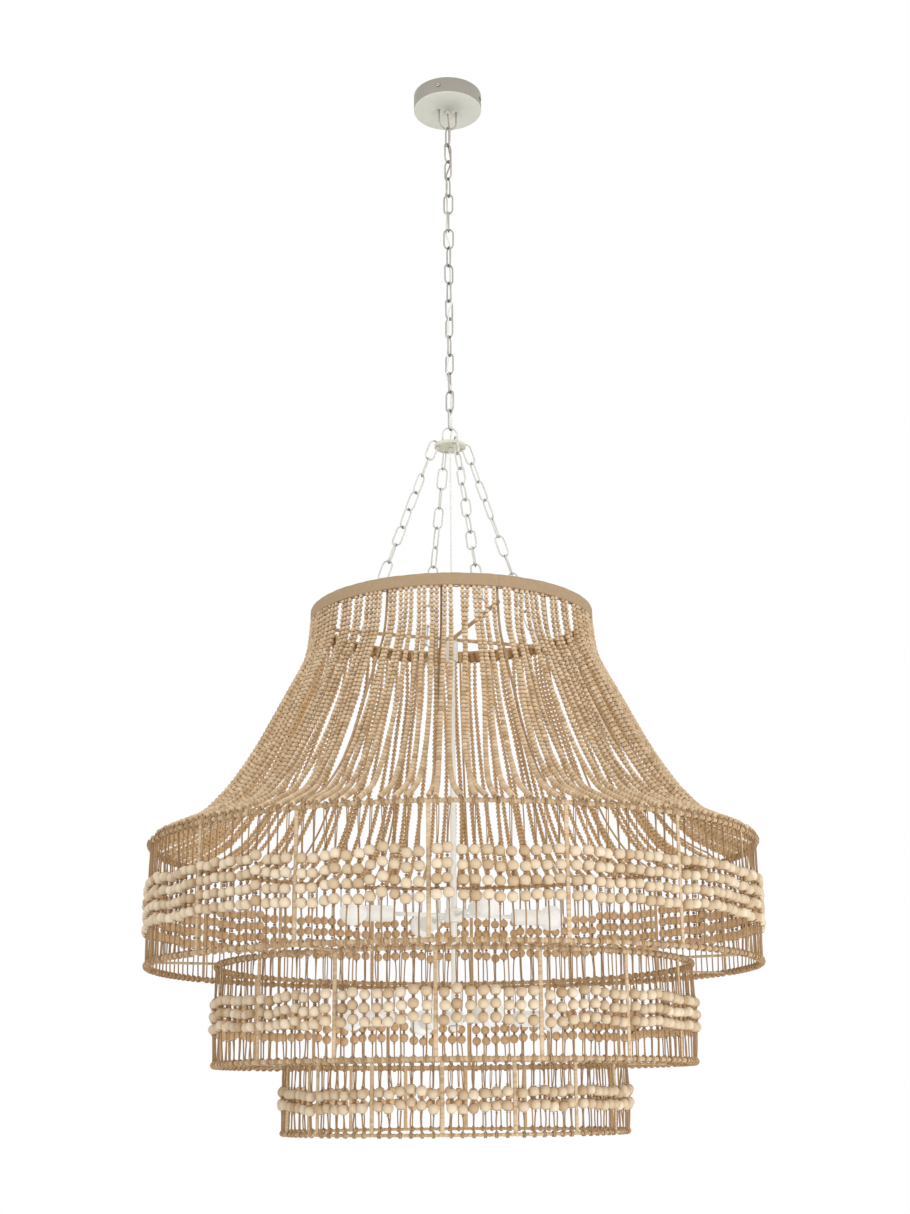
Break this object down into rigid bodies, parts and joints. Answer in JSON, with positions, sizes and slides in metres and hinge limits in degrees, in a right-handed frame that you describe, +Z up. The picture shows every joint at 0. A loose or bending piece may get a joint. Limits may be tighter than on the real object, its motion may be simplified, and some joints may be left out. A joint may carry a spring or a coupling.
{
  "type": "beaded chandelier",
  "caption": "Ceiling chandelier on a link chain, with a flared skirt and stepped drum tiers of strung wooden beads round crosses of globe bulbs.",
  "frame": {"origin": "middle of the canopy's top face, where it meets the ceiling", "axes": "+Z up out of the ceiling side; the cross bars and the lamp arms lie along X and Y; everything hangs towards -Z"},
  "size_m": [1.2022, 1.2022, 2.267],
  "materials": {
    "cream_paint": "satin off-white paint",
    "chain_metal": "satin warm grey-white paint over steel",
    "screw_metal": "dull zinc",
    "clear_cord": "clear plastic over stranded wire",
    "woven_jute": "natural woven jute",
    "wrapped_wire": "steel wire wrapped in natural fibre cord",
    "pale_wood": "natural unvarnished wood beads on brown cord",
    "white_paint": "satin white paint",
    "grey_paint": "satin grey paint",
    "frosted_glass": "frosted white globe"
  },
  "bodies": {
    "canopy": {"ceiling_bracket": "chain_metal", "canopy_cover": "cream_paint", "canopy_loop": "chain_metal", "cord_bushing": "clear_cord"},
    "canopy_screw_1_body": {"canopy_screw_1": "screw_metal"},
    "canopy_screw_2_body": {"canopy_screw_2": "screw_metal"},
    "canopy_screw_3_body": {"canopy_screw_3": "screw_metal"},
    "canopy_screw_4_body": {"canopy_screw_4": "screw_metal"},
    "top_link": {"chain_link_upper": "chain_metal"},
    "chain": {"chain_links": "chain_metal", "supply_cord": "clear_cord"},
    "bottom_link": {"chain_link_lower": "chain_metal"},
    "shade": {"hub_bail": "chain_metal", "hub_plate": "cream_paint", "suspension_chain_1": "chain_metal", "suspension_chain_2": "chain_metal", "suspension_chain_3": "chain_metal", "suspension_chain_4": "chain_metal", "crown_wrap": "woven_jute", "skirt_frame": "wrapped_wire", "cross_bars": "woven_jute", "skirt_beads_1": "pale_wood", "skirt_beads_2": "pale_wood", "skirt_beads_3": "pale_wood", "skirt_beads_4": "pale_wood", "skirt_beads_5": "pale_wood", "skirt_beads_6": "pale_wood", "skirt_beads_7": "pale_wood", "skirt_beads_8": "pale_wood", "upper_tier_frame": "wrapped_wire", "upper_tier_beads_1": "pale_wood", "upper_tier_beads_2": "pale_wood", "upper_tier_beads_3": "pale_wood", "upper_tier_beads_4": "pale_wood", "middle_tier_frame": "wrapped_wire", "middle_tier_beads_1": "pale_wood", "middle_tier_beads_2": "pale_wood", "middle_tier_beads_3": "pale_wood", "middle_tier_beads_4": "pale_wood", "lower_tier_frame": "wrapped_wire", "lower_tier_beads_1": "pale_wood", "lower_tier_beads_2": "pale_wood", "lower_tier_beads_3": "pale_wood", "lower_tier_beads_4": "pale_wood", "stem_coupler": "grey_paint", "light_stem": "white_paint", "stem_finial": "white_paint", "upper_light_arms": "white_paint", "lower_light_arms": "white_paint"},
    "upper_bulb_1_body": {"upper_bulb_1": "frosted_glass"},
    "upper_bulb_2_body": {"upper_bulb_2": "frosted_glass"},
    "upper_bulb_3_body": {"upper_bulb_3": "frosted_glass"},
    "upper_bulb_4_body": {"upper_bulb_4": "frosted_glass"},
    "lower_bulb_1_body": {"lower_bulb_1": "frosted_glass"},
    "lower_bulb_2_body": {"lower_bulb_2": "frosted_glass"},
    "lower_bulb_3_body": {"lower_bulb_3": "frosted_glass"},
    "lower_bulb_4_body": {"lower_bulb_4": "frosted_glass"}
  },
  "joints": [
    {"name": "canopy_screw_1_out", "type": "slide", "parent": "canopy", "child": "canopy_screw_1_body", "axis": [-0.5592, -0.829, 0], "range_m": [0, 0.012]},
    {"name": "canopy_screw_2_out", "type": "slide", "parent": "canopy", "child": "canopy_screw_2_body", "axis": [0.829, -0.5592, 0], "range_m": [0, 0.012]},
    {"name": "canopy_screw_3_out", "type": "slide", "parent": "canopy", "child": "canopy_screw_3_body", "axis": [0.5592, 0.829, 0], "range_m": [0, 0.012]},
    {"name": "canopy_screw_4_out", "type": "slide", "parent": "canopy", "child": "canopy_screw_4_body", "axis": [-0.829, 0.5592, 0], "range_m": [0, 0.012]},
    {"name": "top_link_swing", "type": "hinge", "parent": "canopy", "child": "top_link", "pos_m": [0, 0, -0.08585], "axis": [1, 0, 0], "range_deg": [-20, 20], "deforming": ["supply_cord"]},
    {"name": "chain_swing", "type": "hinge", "parent": "top_link", "child": "chain", "pos_m": [0, 0, -0.12857], "axis": [0, 1, 0], "range_deg": [-20, 20], "deforming": ["supply_cord"]},
    {"name": "bottom_link_swing", "type": "hinge", "parent": "chain", "child": "bottom_link", "pos_m": [0, 0, -0.78247], "axis": [1, 0, 0], "range_deg": [-20, 20], "deforming": ["supply_cord"]},
    {"name": "shade_swing", "type": "hinge", "parent": "bottom_link", "child": "shade", "pos_m": [0, 0, -0.82546], "axis": [0, 1, 0], "range_deg": [-20, 20], "deforming": ["supply_cord"]},
    {"name": "upper_bulb_1_out", "type": "slide", "parent": "shade", "child": "upper_bulb_1_body", "axis": [0, -1, 0], "range_m": [0, 0.03]},
    {"name": "upper_bulb_2_out", "type": "slide", "parent": "shade", "child": "upper_bulb_2_body", "axis": [1, 0, 0], "range_m": [0, 0.03]},
    {"name": "upper_bulb_3_out", "type": "slide", "parent": "shade", "child": "upper_bulb_3_body", "axis": [0, 1, 0], "range_m": [0, 0.03]},
    {"name": "upper_bulb_4_out", "type": "slide", "parent": "shade", "child": "upper_bulb_4_body", "axis": [-1, 0, 0], "range_m": [0, 0.03]},
    {"name": "lower_bulb_1_out", "type": "slide", "parent": "shade", "child": "lower_bulb_1_body", "axis": [0, -1, 0], "range_m": [0, 0.03]},
    {"name": "lower_bulb_2_out", "type": "slide", "parent": "shade", "child": "lower_bulb_2_body", "axis": [1, 0, 0], "range_m": [0, 0.03]},
    {"name": "lower_bulb_3_out", "type": "slide", "parent": "shade", "child": "lower_bulb_3_body", "axis": [0, 1, 0], "range_m": [0, 0.03]},
    {"name": "lower_bulb_4_out", "type": "slide", "parent": "shade", "child": "lower_bulb_4_body", "axis": [-1, 0, 0], "range_m": [0, 0.03]}
  ]
}
